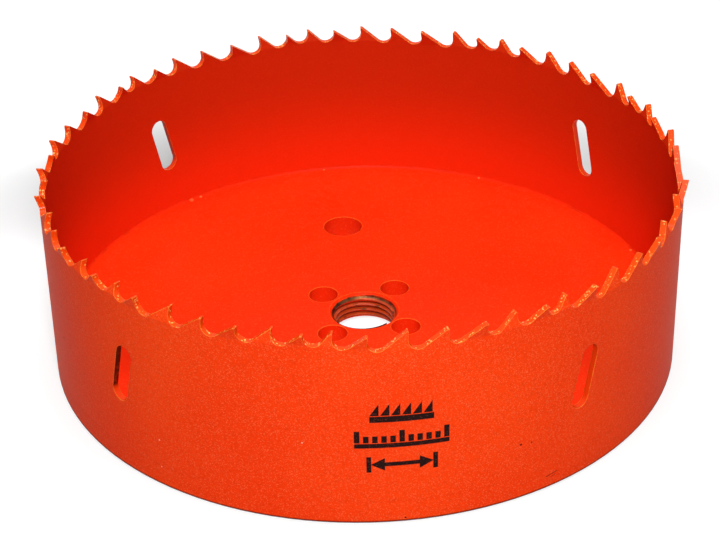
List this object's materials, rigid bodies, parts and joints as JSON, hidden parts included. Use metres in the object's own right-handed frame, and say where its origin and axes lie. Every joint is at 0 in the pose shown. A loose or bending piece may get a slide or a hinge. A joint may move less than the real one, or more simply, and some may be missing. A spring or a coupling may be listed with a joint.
{
  "type": "hole saw",
  "caption": "Cup-shaped hole saw: a rolled toothed band welded round a thick backing plate with a threaded arbor hole and drive pin holes.",
  "frame": {"origin": "on the arbor axis, at the underside of the backing plate, on which the saw stands", "axes": "+Z along the arbor axis towards the tooth tips; the pictured side faces -Y, with +X to its right"},
  "size_m": [0.1511, 0.152, 0.048],
  "materials": {
    "enamel_band": "gloss orange-red enamel with a fine sparkle",
    "enamel_plate": "gloss orange-red enamel",
    "bare_steel": "machined thread, thinly painted over",
    "ink": "matt black pad print"
  },
  "bodies": {
    "root": {"toothed_band": "enamel_band", "backing_plate": "enamel_plate"}
  },
  "joints": []
}
